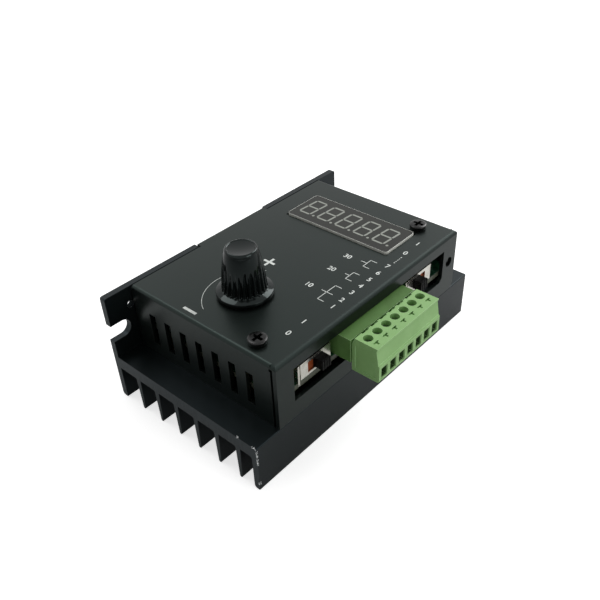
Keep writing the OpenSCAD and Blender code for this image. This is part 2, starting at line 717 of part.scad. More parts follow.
// Seven segments and a point. First axis is the digit's width, second its height.
module digit_outline() {
    half = (digit_h - segment_t) / 2;
    gap = 0.2;
    multmatrix([[1, tan(digit_lean), 0, 0], [0, 1, 0, 0], [0, 0, 1, 0], [0, 0, 0, 1]]) {
        for (y = [-half, 0, half]) translate([0, y]) segment_bar(digit_w - gap);
        for (x = [-digit_w / 2, digit_w / 2], y = [-half / 2, half / 2])
            translate([x, y]) rotate(90) segment_bar(half - gap);
    }
    translate([digit_w / 2 + 1.15, -half]) circle(0.42, $fn = 24);
}

// The digits read from back to front, so their width runs along -y and their height along +x.
module digit_row() for (i = [0:digits - 1])
    translate([display_x + 0.2, display_y - (i - (digits - 1) / 2) * digit_pitch + 0.4]) rotate(-90) digit_outline();

module display_face() color("#141414") difference() {
    translate([0, 0, display_top - face_t]) linear_extrude(face_t) display_outline(face_inset);
    translate([0, 0, display_top - face_t - 1]) linear_extrude(face_t + 2) digit_row();
}

module display_segments() color("#cfcfc6")
    translate([0, 0, display_top - face_t]) linear_extrude(face_t) digit_row();

module display_pins() color("#c9ccca") for (i = [-3:3], side = [-1, 1])
    post(display_x + side * display_pin_pitch, display_y + i * display_pin_pitch, board_low - 0.8, display_low, 0.28);

// Upright can capacitors on their square bases.
module capacitors() color("#3b3f4a") for (can = can_list) {
    x = can[0];
    y = can[1];
    r = can[2];
    post(x, y, board_top + 0.6, board_top + can[3], r);
    block([x - r, y - r, board_top], [x + r, y + r, board_top + 0.6 + eps]);
}

module inductor() color("#55585a") {
    core_top = board_top + 4.6;
    block([coil_x - 5, coil_y - 4.5, board_top], [coil_x + 5, coil_y + 4.5, board_top + 1]);
    post(coil_x, coil_y, board_top + 1 - eps, core_top, 4.2);
    block([coil_x - 5, coil_y - 4.5, core_top - eps], [coil_x + 5, coil_y + 4.5, core_top + 0.4]);
}

// Flat chip with rows of leads on two sides.
module chip(x, y, w, len, h, leads, pitch) {
    block([x - w / 2, y - len / 2, board_top + 0.1], [x + w / 2, y + len / 2, board_top + h]);
    for (i = [0:leads - 1], side = [-1, 1])
        translate([x + side * (w / 2 + 0.4), y + (i - (leads - 1) / 2) * pitch, board_top + 0.2])
            cube([1, pitch * 0.4, 0.4], center = true);
}

module controller_chip() color("#1e1f20") chip(display_x, 30, 7, 7, 1.5, 8, 0.8);

module amplifier_chips() color("#1e1f20") for (y = [24, 32]) chip(57, y, 3.9, 4.9, 1.6, 4, 1.27);

module sense_resistor() color("#222222") {
    block([38, 12, board_top], [44.4, 15.2, board_top + 0.6]);
}

place() heat_sink();
place() cover();
place() cover_screws();
place() tall_posts();
place() short_posts();
place() board_screws();
place() circuit_board();
place() power_transistors();
place() thermal_pads();
place() transistor_screws();
place() terminal_header();
place() header_pins();
place() plug_housing();
place() plug_contacts();
place() clamp_screw(0);  // clamp_screw_1
place() clamp_screw(1);  // clamp_screw_2
place() clamp_screw(2);  // clamp_screw_3
place() clamp_screw(3);  // clamp_screw_4
place() clamp_screw(4);  // clamp_screw_5
place() clamp_screw(5);  // clamp_screw_6
place() clamp_screw(6);  // clamp_screw_7
place() wire_clamp(0);  // wire_clamp_1
place() wire_clamp(1);  // wire_clamp_2
place() wire_clamp(2);  // wire_clamp_3
place() wire_clamp(3);  // wire_clamp_4
place() wire_clamp(4);  // wire_clamp_5
place() wire_clamp(5);  // wire_clamp_6
place() wire_clamp(6);  // wire_clamp_7
place() range_switch_frame();
place() range_switch_base();
place() range_switch_terminals();
place() range_switch_thumb();
place() range_switch_bridge();
place() mode_switch_frame();
place() mode_switch_base();
place() mode_switch_terminals();
place() mode_switch_thumb();
place() mode_switch_bridge();
place() knob();
place() dial_shaft();
place() dial_housing();
place() dial_base();
place() dial_terminals();
place() display_housing();
place() display_face();
place() display_segments();
place() display_pins();
place() capacitors();
place() inductor();
place() controller_chip();
place() amplifier_chips();
place() sense_resistor();
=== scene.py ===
"""Dresses a bench current source module for the render: finned heat sink, folded cover, dial,
five-digit display, two slide switches, circuit board and a pluggable seven-way terminal."""

from __future__ import annotations

import logging
import math
import random
from dataclasses import dataclass, field, replace
from enum import Enum
from functools import partial
from typing import Any, Sequence

import bmesh
import bpy
from mathutils import Euler, Matrix, Vector

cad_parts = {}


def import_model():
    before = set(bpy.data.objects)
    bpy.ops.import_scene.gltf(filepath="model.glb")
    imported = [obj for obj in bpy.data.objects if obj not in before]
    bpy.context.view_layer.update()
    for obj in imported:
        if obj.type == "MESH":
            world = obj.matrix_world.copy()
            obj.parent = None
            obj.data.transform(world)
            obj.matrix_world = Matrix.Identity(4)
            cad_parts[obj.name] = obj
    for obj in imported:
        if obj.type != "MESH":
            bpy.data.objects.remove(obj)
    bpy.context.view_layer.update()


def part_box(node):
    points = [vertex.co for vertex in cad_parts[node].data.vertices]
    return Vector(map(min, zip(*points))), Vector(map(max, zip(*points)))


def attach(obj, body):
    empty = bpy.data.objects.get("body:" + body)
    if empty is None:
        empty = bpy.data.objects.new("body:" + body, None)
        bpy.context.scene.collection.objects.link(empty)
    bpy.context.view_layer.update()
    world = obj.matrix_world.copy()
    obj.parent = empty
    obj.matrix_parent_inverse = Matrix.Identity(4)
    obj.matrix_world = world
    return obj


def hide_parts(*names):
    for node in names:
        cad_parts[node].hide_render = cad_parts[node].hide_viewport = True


LOG = logging.getLogger("current_source")
MM = 0.001
# From the heat sink's front left foot, where sizes are measured, to the middle of the outline.
CASE_CORNER = Vector((-48.0, -21.65, 0.0))
# Faces round a small turned part.
ROUND = 48
# Edges flatter than the first are shaded smooth; edges of CAD copies sharper than the second are broken.
SMOOTH_DEG = 35.0
BREAK_DEG = 30.0
# Where a finish's noise goes from its colour to its shade, and the roughness of any clear coat.
PATCH_STEP = (0.35, 0.65)
COAT_ROUGH = 0.08

Piece = bpy.types.Object
Socket = bpy.types.NodeSocket
Tree = bpy.types.NodeTree
Triple = tuple[float, float, float]
Pair = tuple[float, float]
Box = tuple[Triple, Triple]


def at(x: float, y: float, z: float) -> Vector:
    """Place in metres of a point given in case millimetres."""
    return (Vector((x, y, z)) + CASE_CORNER) * MM


def linear(code: str) -> tuple[float, float, float, float]:
    """Turn an sRGB hex colour into linear RGBA.

    Args:
        code: colour as #rrggbb.

    Returns:
        The four linear channels, opaque.
    """
    channels = []
    for start in (1, 3, 5):
        value = int(code[start:start + 2], 16) / 255
        channels.append(value / 12.92 if value <= 0.04045 else ((value + 0.055) / 1.055) ** 2.4)
    return (channels[0], channels[1], channels[2], 1.0)


def settle(thing: Any, **settings: Any) -> Any:
    """Set properties of a thing, in the order given, and return it."""
    for name, value in settings.items():
        setattr(thing, name, value)
    return thing


def add(tree: Tree, kind: str, inputs: dict[Any, Any] | None = None, **settings: Any) -> bpy.types.Node:
    """Add one node to a tree.

    Args:
        tree: the tree that takes the node.
        kind: the node's type name.
        inputs: values or sockets by input name or number.
        settings: properties of the node.

    Returns:
        The node.
    """
    node = settle(tree.nodes.new(kind), **settings)
    for key, value in (inputs or {}).items():
        if isinstance(value, bpy.types.NodeSocket):
            tree.links.new(value, node.inputs[key])
        else:
            node.inputs[key].default_value = value
    return node


def first(tree: Tree, kind: str, inputs: dict[Any, Any] | None = None, **settings: Any) -> Socket:
    """Add one node to a tree, as add does, and return its first output."""
    return add(tree, kind, inputs, **settings).outputs[0]


def empty_tree(holder: bpy.types.Material | bpy.types.World) -> Tree:
    """Give a material or world an empty node tree."""
    holder.use_nodes = True
    holder.node_tree.nodes.clear()
    return holder.node_tree


def modify(piece: Piece, name: str, kind: str, **settings: Any) -> bpy.types.Modifier:
    """Add a modifier with its settings."""
    return settle(piece.modifiers.new(name, kind), **settings)


def plain_mesh(name: str, source: Piece) -> Piece:
    """Turn an object with modifiers into a plain mesh object of the given name.

    Args:
        name: name of the new object.
        source: the object to evaluate, which is removed.

    Returns:
        The plain object, at the origin.
    """
    bpy.context.view_layer.update()
    graph = bpy.context.evaluated_depsgraph_get()
    mesh = bpy.data.meshes.new_from_object(source.evaluated_get(graph), depsgraph=graph)
    bpy.data.objects.remove(source)
    mesh.name = name
    return link(name, mesh)


def link(name: str, data: bpy.types.ID) -> Piece:
    """Put a mesh, curve, lamp or camera in the scene as an object at the origin."""
    piece = bpy.data.objects.new(name, data)
    bpy.context.scene.collection.objects.link(piece)
    return piece


def from_bmesh(name: str, shape: bmesh.types.BMesh) -> Piece:
    """Turn a bmesh into an object, smooth across its flatter edges.

    Args:
        name: name of the object.
        shape: the bmesh, which is freed.

    Returns:
        The object.
    """
    bmesh.ops.remove_doubles(shape, verts=shape.verts, dist=1e-7)
    bmesh.ops.recalc_face_normals(shape, faces=shape.faces)
    for face in shape.faces:
        face.smooth = True
    for edge in shape.edges:
        edge.smooth = len(edge.link_faces) == 2 and edge.calc_face_angle(0.0) <= math.radians(SMOOTH_DEG)
    mesh = bpy.data.meshes.new(name)
    shape.to_mesh(mesh)
    shape.free()
    return link(name, mesh)


def smooth_run(points: Sequence[Pair], steps: int = 3) -> list[Pair]:
    """A smooth curve through points, the first and the last among them.

    Args:
        points: the points to pass through.
        steps: pieces between two points.

    Returns:
        The points of the curve.
    """
    ends = [points[0], *points, points[-1]]
    run = []
    for a, b, c, d in zip(ends, ends[1:], ends[2:], ends[3:]):
        for i in range(steps):
            t = i / steps
            run.append(tuple(0.5 * (2 * q + (r - p) * t + (2 * p - 5 * q + 4 * r - w) * t ** 2
                                    + (3 * q - p - 3 * r + w) * t ** 3)
                             for p, q, r, w in zip(a, b, c, d)))
    return [*run, tuple(points[-1])]


def turned(name: str, profile: Sequence[Pair], axis: Vector, steps: int = ROUND) -> Piece:
    """Turn a profile about an upright axis.

    Args:
        name: name of the object.
        profile: radius and height pairs in case millimetres, from axis to axis.
        axis: a point on the axis in metres; only x and y count.
        steps: number of faces round the axis.

    Returns:
        The closed solid.
    """
    shape = bmesh.new()
    rings = []
    for radius, height in profile:
        ring = []
        for i in range(1 if radius == 0 else steps):
            angle = 2 * math.pi * i / steps
            ring.append(shape.verts.new((axis.x + radius * MM * math.cos(angle),
                                         axis.y + radius * MM * math.sin(angle), height * MM)))
        rings.append(ring)
    for low, high in zip(rings, rings[1:]):
        for i in range(steps):
            loop = [edge[k % len(edge)] for edge, k in ((low, i), (low, i + 1), (high, i + 1), (high, i))]
            corners = list(dict.fromkeys(loop))
            if len(corners) > 2:
                shape.faces.new(corners)
    return from_bmesh(name, shape)


# Small groups of nodes.


def calc(tree: Tree, operation: str, a: Any, b: Any = 0.0) -> Socket:
    """One arithmetic step on numbers."""
    return first(tree, "ShaderNodeMath", {0: a, 1: b}, operation=operation)


def vector(tree: Tree, operation: str, a: Any, b: Any = (0.0, 0.0, 0.0)) -> Socket:
    """One arithmetic step on vectors."""
    return first(tree, "ShaderNodeVectorMath", {0: a, 1: b}, operation=operation)


def ramp(tree: Tree, value: Socket, low: Any, high: Any) -> Socket:
    """A smooth step from 0 at low to 1 at high."""
    return first(tree, "ShaderNodeMapRange", {0: value, 1: low, 2: high}, interpolation_type="SMOOTHSTEP")


def blend(tree: Tree, share: Any, low: Any, high: Any, colour: bool = True) -> Socket:
    """Mix two colours, or two numbers, by a share."""
    kind, start, out = ("RGBA", 6, 2) if colour else ("FLOAT", 2, 0)
    node = add(tree, "ShaderNodeMix", {0: share, start: low, start + 1: high}, data_type=kind)
    return node.outputs[out]


def object_mm(tree: Tree, run: Triple = (1.0, 1.0, 1.0)) -> Socket:
    """Object coordinates in millimetres, scaled along each axis."""
    place = add(tree, "ShaderNodeTexCoord").outputs["Object"]
    return vector(tree, "MULTIPLY", place, tuple(part / MM for part in run))


def inside(tree: Tree, low: Triple, high: Triple) -> Socket:
    """1 inside a box given in case millimetres, 0 outside."""
    centre = at(*((a + b) / 2 for a, b in zip(low, high))) / MM
    size = vector(tree, "ABSOLUTE", vector(tree, "SUBTRACT", object_mm(tree), centre))
    parts = add(tree, "ShaderNodeSeparateXYZ", {0: size}).outputs
    x, y, z = (calc(tree, "LESS_THAN", part, (b - a) / 2) for part, a, b in zip(parts, low, high))
    return calc(tree, "MULTIPLY", calc(tree, "MULTIPLY", x, y), z)


def within(tree: Tree, boxes: Sequence[Box]) -> Any:
    """1 inside any of the boxes, 0 outside them all."""
    share: Any = 0.0
    for low, high in boxes:
        share = calc(tree, "MAXIMUM", share, inside(tree, low, high))
    return share


def facing(tree: Tree, axis: int) -> Socket:
    """How squarely a face looks along an axis, from 0 to 1."""
    normal = add(tree, "ShaderNodeNewGeometry").outputs["Normal"]
    return calc(tree, "ABSOLUTE", add(tree, "ShaderNodeSeparateXYZ", {0: normal}).outputs[axis])


# Finishes.


@dataclass
class Look:
    """The sockets that a finish feeds to its shader."""

    colour: Socket
    roughness: Socket
    height: Socket
    metallic: Socket | float


@dataclass(frozen=True)
class Finish:
    """A surface finish, patterned on the object's own coordinates in millimetres.

    Each zone is a box with a colour and a roughness of its own, such as painted shade in a joint or hollow.
    """

    name: str
    colour: str
    roughness: float
    shade: str
    metallic: float = 0.0
    specular: float = 0.5
    tint: str = "#ffffff"
    coat: float = 0.0
    patch_mm: float = 9.0
    grain_mm: float = 0.35
    grain_um: float = 5.0
    spread: float = 0.07
    run: Triple = (1.0, 1.0, 1.0)
    zones: tuple[tuple[Triple, Triple, str, float], ...] = ()

    def noise(self, tree: Tree, size_mm: float, detail: float, run: Triple | None = None) -> Socket:
        """Noise with features of a given size."""
        return first(tree, "ShaderNodeTexNoise", {
            "Vector": object_mm(tree, run or self.run), "Scale": 1.0 / size_mm, "Detail": detail,
            "Roughness": 0.55})

    def refine(self, tree: Tree, look: Look) -> Look:
        """Hook for what a special finish adds; plain finishes add nothing."""
        return look

    def material(self) -> bpy.types.Material:
        """Build the node material, once for each finish name."""
        title = f"{self.name}_finish"
        known = bpy.data.materials.get(title)
        if known:
            return known
        material = bpy.data.materials.new(title)
        tree = empty_tree(material)
        patches = self.noise(tree, self.patch_mm, 4.0)
        grain = self.noise(tree, self.grain_mm, 2.0)
        colour = blend(tree, ramp(tree, patches, *PATCH_STEP), linear(self.colour), linear(self.shade))
        low, high = self.roughness - self.spread, self.roughness + self.spread
        roughness = first(tree, "ShaderNodeMapRange", {0: patches, 3: low, 4: high})
        look = self.refine(tree, Look(colour, roughness, grain, self.metallic))
        for *box, tone, rough in self.zones:
            share = inside(tree, *box)
            look = replace(look, colour=blend(tree, share, look.colour, linear(tone)),
                           roughness=blend(tree, share, look.roughness, rough, False))
        bump = first(tree, "ShaderNodeBump", {"Height": look.height, "Distance": self.grain_um * 1e-6})
        shader = first(tree, "ShaderNodeBsdfPrincipled", {
            "Base Color": look.colour, "Roughness": look.roughness, "Metallic": look.metallic,
            "Specular IOR Level": self.specular, "Specular Tint": linear(self.tint),
            "Coat Weight": self.coat, "Coat Roughness": COAT_ROUGH, "Normal": bump})
        add(tree, "ShaderNodeOutputMaterial", {0: shader})
        return material


@dataclass(frozen=True)
class Extrusion(Finish):
    """Anodised extrusion: die lines along x, sawn ends, and a few bright nicks where it was knocked."""

    end_colour: str = "#2b2f30"
    end_shade: str = "#212526"
    end_rough: float = 0.5
    line_mm: float = 0.25
    saw_mm: float = 0.4
    nick_mm: float = 0.36
    nick_colour: str = "#e4e6e6"
    nick_rough: float = 0.45
    nick_metal: float = 0.35
    nicks: tuple[Box, ...] = (
        ((-0.2, -0.2, 9.2), (0.45, 0.3, 14.2)), ((-0.2, 0.1, 14.6), (0.35, 1.6, 15.2)),
        ((-0.2, 6.0, 14.6), (0.35, 7.0, 15.2)), ((-0.2, -0.2, 1.8), (0.6, 0.45, 3.0)))

    def refine(self, tree: Tree, look: Look) -> Look:
        """Add die lines, sawn ends and bright nicks where the ends are knocked."""
        lines = self.noise(tree, self.line_mm, 2.0, (0.006, 1.0, 1.0))
        saw = self.noise(tree, self.saw_mm, 2.0, (1.0, 1.0, 0.08))
        end = ramp(tree, facing(tree, 0), 0.55, 0.8)
        tone = blend(tree, ramp(tree, saw, 0.3, 0.7), linear(self.end_colour), linear(self.end_shade))
        colour = blend(tree, end, look.colour, tone)
        roughness = blend(tree, end, look.roughness, self.end_rough, False)
        chips = ramp(tree, self.noise(tree, self.nick_mm, 1.0), 0.53, 0.56)
        bare = calc(tree, "MULTIPLY", within(tree, self.nicks), chips)
        return Look(blend(tree, bare, colour, linear(self.nick_colour)),
                    blend(tree, bare, roughness, self.nick_rough, False),
                    blend(tree, end, lines, saw, False), blend(tree, bare, 0.0, self.nick_metal, False))


@dataclass(frozen=True)
class SolderMask(Finish):
    """Circuit board: green mask over copper tracks on its two faces, laminate edges painted dark as shade."""

    # The laminate of the edges, painted dark as the shade inside the case.
    edge: str = "#3c4030"
    edge_rough: float = 0.7
    fibre: str = "#2c2f22"
    copper: str = "#1c5234"
    track_mm: float = 2.6

    def refine(self, tree: Tree, look: Look) -> Look:
        """Add the copper pattern under the mask and the bare edges."""
        shape = {"Vector": object_mm(tree), "Scale": 1 / self.track_mm, "Randomness": 0.9}
        cells = first(tree, "ShaderNodeTexVoronoi", shape, feature="F1", distance="CHEBYCHEV")
        tracks = ramp(tree, cells, 0.4, 0.43)
        face = ramp(tree, facing(tree, 2), 0.4, 0.6)
        mask = blend(tree, tracks, look.colour, linear(self.copper))
        fibres = self.noise(tree, 0.5, 2.0, (0.15, 0.15, 2.0))
        laminate = blend(tree, fibres, linear(self.edge), linear(self.fibre))
        return replace(look, colour=blend(tree, face, laminate, mask), height=tracks,
                       roughness=blend(tree, face, self.edge_rough, look.roughness, False))


@dataclass(frozen=True)
class TwoTone(Finish):
    """A part of two stuffs: its own finish in the given boxes, another outside them, such as tinned leads."""

    boxes: tuple[Box, ...] = ()
    other: str = "#c4c6c4"
    other_rough: float = 0.32
    other_metal: float = 1.0

    def refine(self, tree: Tree, look: Look) -> Look:
        """Turn everything outside the boxes into the other stuff."""
        body = within(tree, self.boxes)
        return replace(look, colour=blend(tree, body, linear(self.other), look.colour),
                       roughness=blend(tree, body, self.other_rough, look.roughness, False),
                       metallic=blend(tree, body, self.other_metal, 0.0, False))


# The open joint between back wall and cover, either side of the tab: painted near black as shade, since no
# light comes back from it.
JOINT_SHADE = (((8.5, 53.4, 33.5), (33.95, 54.12, 35.4), "#020202", 1.0),
         ((62.05, 53.4, 33.5), (87.5, 54.12, 35.4), "#020202", 1.0))
# The inside of the drilled hole, painted near black as shade; the cover's front bend, kept dull so that no
# lamp glints in it; and the wire entries, painted a darker green as the shade inside them.
HOLE_SHADE = (((6.4, 54.1, 28.2), (8.8, 55.8, 30.6), "#020202", 1.0),)
BEND = (((8.4, -0.1, 34.0), (87.6, 1.05, 35.3), "#040505", 0.55),)
ENTRY_SHADE = (((32.9, -12.3, 21.9), (58.5, -5.0, 25.5), "#2f4a24", 0.6),)
# Anodised extrusion: a cool satin black that mirrors softly, with faint lines along its length.
SINK = Extrusion("black_anodised_aluminium", "#050707", 0.36, "#070909", specular=0.24, tint="#d6f4ff",
                 patch_mm=14, grain_um=4, spread=0.04, zones=JOINT_SHADE + HOLE_SHADE)
# Its broken edges: painted a little paler as a highlight, so each edge shows as a thin line.
SINK_EDGE_HIGHLIGHT = Extrusion("sink_edge_highlight", "#1a1d1e", 0.36, "#262a2b", specular=0.4, patch_mm=2.5,
                      grain_mm=0.2, end_colour="#34393a", end_shade="#25292a", zones=JOINT_SHADE)
# Folded and anodised sheet: an even neutral satin with a very fine tooth.
SHEET = Finish("black_anodised_sheet", "#050706", 0.33, "#070a09", specular=0.29, tint="#defff6",
               patch_mm=30, grain_mm=0.16, grain_um=1.5, spread=0.03, zones=JOINT_SHADE + BEND)
# Edges of the sheet: painted paler as a highlight along each edge.
SHEET_EDGE_HIGHLIGHT = Finish("sheet_edge_highlight", "#131616", 0.3, "#1b1f1f", specular=0.4, patch_mm=3, grain_mm=0.2,
                    grain_um=2, zones=JOINT_SHADE + BEND)
# Black oxide on machine screws: deep black with an oily glint on each edge.
OXIDE = Finish("black_oxide_steel", "#060707", 0.24, "#090909", specular=0.3, patch_mm=1.5, grain_um=3)
# Zinc plate on steel: pale blue-grey metal with fine cloudy spangle.
ZINC = Finish("zinc_plated_steel", "#b4b9b8", 0.3, "#9aa09f", metallic=1.0, patch_mm=0.8, grain_mm=0.15)
# Clamp screws: the same plate, dulled, and painted darker as the shade down in their wells.
WELL_ZINC_SHADED = Finish("zinc_plate_well_shade", "#828884", 0.36, "#6c726e", metallic=1.0, patch_mm=0.8, grain_mm=0.15)
# Tin plate on folded steel: bright and warm, with soft smears from handling.
TIN = Finish("tin_plate", "#dcdad2", 0.26, "#c9c6bc", metallic=1.0, patch_mm=2.5, grain_mm=0.5, grain_um=6)
# Turned brass: yellow metal with rings from the lathe, painted darker as the shade inside the case.
BRASS_SHADED = Finish("turned_brass_shaded", "#a08a54", 0.3, "#8c7847", metallic=1.0, patch_mm=2.0, run=(1.0, 1.0, 6.0))
# Spring bronze: redder than the brass, with a duller sheen.
BRONZE = Finish("spring_bronze", "#c7935a", 0.35, "#b58450", metallic=1.0, patch_mm=1.5)
# Zinc casting: dull grey with the grain of the mould.
CASTING = Finish("zinc_casting", "#a3a7a6", 0.5, "#8f9392", metallic=1.0, patch_mm=1.2, grain_um=12)
# Moulded polyamide of the header: matt green, mottled by its filler, painted darker as shade under the cover.
HEADER_GREEN_SHADED = Finish("header_polyamide_shaded", "#557a40", 0.5, "#50733b", specular=0.22, patch_mm=5,
                      grain_mm=0.12, grain_um=3)
# The plug's own moulding: the same green, without the header's painted shade.
PLUG_GREEN = Finish("plug_polyamide", "#89b272", 0.46, "#82ab6b", specular=0.32, patch_mm=5, grain_mm=0.12,
                    grain_um=3, zones=ENTRY_SHADE)
# Its broken edges, and the header's: painted paler as a highlight along each edge.
PLUG_EDGE_HIGHLIGHT = Finish("plug_edge_highlight", "#b6dba6", 0.4, "#abd29a", patch_mm=4, grain_mm=0.12, grain_um=2)
# Solder mask: deep wet green over raised tracks.
BOARD = SolderMask("solder_mask", "#0e3322", 0.3, "#103c28", patch_mm=12, coat=0.3, grain_um=20)
# Phenolic laminate: reddish brown layers of paper.
LAMINATE = Finish("phenolic_laminate", "#8a4520", 0.55, "#6a3518", patch_mm=1.2, grain_mm=0.3,
                  run=(1.0, 4.0, 1.0))
# Moulded ABS from a polished tool: wet black gloss with a faint orange peel.
KNOB = Finish("gloss_black_abs", "#020303", 0.1, "#040505", specular=0.27, tint="#e0f4f2", patch_mm=6,
              grain_mm=1.2, grain_um=2, spread=0.02)
# Slider: a waxy black acetal thumb piece on a reddish brown laminate block.
THUMB = TwoTone("black_acetal", "#020202", 0.45, "#040404", specular=0.1, patch_mm=2, grain_mm=0.2,
                other="#7c3a18", other_rough=0.55, other_metal=0.0,
                boxes=(((23.8, -2, 24), (27.3, 2.05, 28)), ((67.6, -2, 24), (71, 2.05, 28))))
# Moulding compound of chips: matt charcoal with a coarse tooth.
EPOXY = Finish("moulded_epoxy", "#151617", 0.6, "#1c1d1e", patch_mm=2.5, grain_mm=0.12, grain_um=10)
# Display housing: pale grey polycarbonate, almost featureless.
DISPLAY_CASE = Finish("grey_polycarbonate", "#cfd1c9", 0.45, "#c6c8c0", patch_mm=4, grain_mm=0.2)
# Its moulded rim and broken edges: painted brighter as a highlight, a thin frame round the dark face.
DISPLAY_RIM_HIGHLIGHT = Finish("display_rim_highlight", "#f0f1ea", 0.4, "#e6e8e0", patch_mm=4, grain_mm=0.2)
# Display face: dark olive film with a soft sheen.
DISPLAY_FACE = Finish("display_face_film", "#12140f", 0.3, "#151711", specular=0.27, patch_mm=10,
                      grain_mm=0.3, grain_um=1.5)
# Unlit segments: milky resin, greyed by what is below it.
SEGMENT = Finish("segment_resin", "#8f938b", 0.35, "#878b83", patch_mm=3, grain_mm=0.2, grain_um=2)
# Silicone pad: dull warm grey.
SILICONE = Finish("silicone_pad", "#9a948a", 0.75, "#8d877d", patch_mm=3)
# Ferrite: dark grey and chalky, with pits.
FERRITE = Finish("ferrite", "#2e2f31", 0.7, "#38393b", patch_mm=1.0, grain_um=15)
# Enamelled winding wire: copper under clear lacquer.
COPPER = Finish("enamelled_copper", "#b0612c", 0.25, "#9c5224", metallic=1.0, patch_mm=2.0, coat=0.6)
# Drawn aluminium can: bright, with faint upright draw marks.
CAN = Finish("bare_can", "#c9cbcc", 0.25, "#b9bbbc", metallic=1.0, patch_mm=3, run=(4.0, 4.0, 1.0))
# Moulded base of a can: plain black plastic.
CAN_BASE = Finish("can_base", "#101011", 0.5, "#161617", patch_mm=2)
# Screen-printed ink: matt white, a little thin in places.
INK = Finish("white_ink", "#dfe3df", 0.55, "#cfd4d0", patch_mm=1.5, grain_mm=0.15, grain_um=3)
# Cut aluminium, bare at the drilled hole, laid only on the side where a glint falls: partly a painted
# highlight.
BARE_RIM_GLINT = Finish("cut_aluminium_glint", "#e2e4e4", 0.3, "#b4b8b8", metallic=0.9, patch_mm=0.6)
# Transistors: charcoal moulding on a tinned tab and leads.
TRANSISTOR = TwoTone("power_transistor", "#1b1c1d", 0.55, "#232425", patch_mm=3,
                     boxes=(((28.9, 23.4, 16.3), (39.1, 32.3, 20)), ((52.9, 23.4, 16.3), (63.1, 32.3, 20))))
# Chips: charcoal moulding between rows of tinned leads.
CHIP = TwoTone("chip_package", "#17181a", 0.6, "#202124", patch_mm=2,
               boxes=(((67.1, 26.4, 23), (74.3, 33.6, 26)), ((55, 21.5, 23), (59, 34.5, 26)),
                      ((38.6, 11, 23), (43.8, 16, 25))))


def dress(**finishes: Finish) -> None:
    """Give each object named its finish, in every material slot."""
    for name, finish in finishes.items():
        piece = bpy.data.objects[name]
        material = finish.material()
        if not piece.material_slots:
            piece.data.materials.append(material)
        for slot in piece.material_slots:
            slot.material = material


def softened(node: str, name: str, width_mm: float, finish: Finish, edge: Finish, body: str) -> None:
    """Stand a copy of a CAD node with broken edges in its place.

    Args:
        node: the CAD node.
        name: name of the copy.
        width_mm: width of the broken edges.
        finish: finish of the faces.
        edge: finish of the broken edges.
        body: the body that the copy rides on.
    """
    shape = bmesh.new()
    shape.from_mesh(bpy.data.objects[node].data)
    bmesh.ops.remove_doubles(shape, verts=shape.verts, dist=2e-6)
    bmesh.ops.dissolve_limit(shape, angle_limit=math.radians(0.5), verts=shape.verts, edges=shape.edges)
    mesh = bpy.data.meshes.new(name)
    shape.to_mesh(mesh)
    shape.free()
    mesh.materials.clear()
    mesh.materials.append(finish.material())
    mesh.materials.append(edge.material())
    mesh.polygons.foreach_set("material_index", [0] * len(mesh.polygons))
    mesh.polygons.foreach_set("use_smooth", [True] * len(mesh.polygons))
    rough = link(name + "_rough", mesh)
    modify(rough, "broken_edges", "BEVEL", width=width_mm * MM, segments=2, limit_method="ANGLE",
           angle_limit=math.radians(BREAK_DEG), material=1, use_clamp_overlap=True)
    modify(rough, "flat_faces", "WEIGHTED_NORMAL", mode="FACE_AREA", weight=100)
    piece = plain_mesh(name, rough)
    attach(piece, body)
    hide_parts(node)
    LOG.info("%s: broken edges %.2f mm, %d faces", name, width_mm, len(piece.data.polygons))


# Patterns built from Geometry Nodes.


class Pattern:
    """A Geometry Nodes tree with named inputs that ends in real geometry with a material."""

    def __init__(self, name: str) -> None:
        """Start an empty tree with one geometry output."""
        self.tree = bpy.data.node_groups.new(name, "GeometryNodeTree")
        self.tree.interface.new_socket("Geometry", in_out="OUTPUT", socket_type="NodeSocketGeometry")
        self.identifiers: dict[str, str] = {}
        self.entry = self.tree.nodes.new("NodeGroupInput")

    def inputs(self, **kinds: str) -> list[Socket]:
        """Add inputs, each named with its kind, and return their sockets inside the tree."""
        for name, kind in kinds.items():
            item = self.tree.interface.new_socket(name, in_out="INPUT", socket_type="NodeSocket" + kind)
            self.identifiers[name] = item.identifier
        known = {out.identifier: out for out in self.entry.outputs}
        return [known[self.identifiers[name]] for name in kinds]

    def build(self, name: str, shape: Socket, finish: Finish, **values: Any) -> Piece:
        """Close the tree, run it once and return the plain mesh piece.

        Args:
            name: name of the piece.
            shape: the geometry to hand out.
            finish: finish of the piece.
            values: a value for each input.

        Returns:
            The plain piece.
        """
        material = self.inputs(material="Material")[0]
        real = first(self.tree, "GeometryNodeRealizeInstances", {0: shape})
        done = first(self.tree, "GeometryNodeSetMaterial", {"Geometry": real, "Material": material})
        add(self.tree, "NodeGroupOutput", {0: done})
        holder = link(name + "_tree", bpy.data.meshes.new(name + "_tree"))
        modifier = modify(holder, name, "NODES", node_group=self.tree)
        for key, value in {**values, "material": finish.material()}.items():
            modifier[self.identifiers[key]] = value
        return plain_mesh(name, holder)


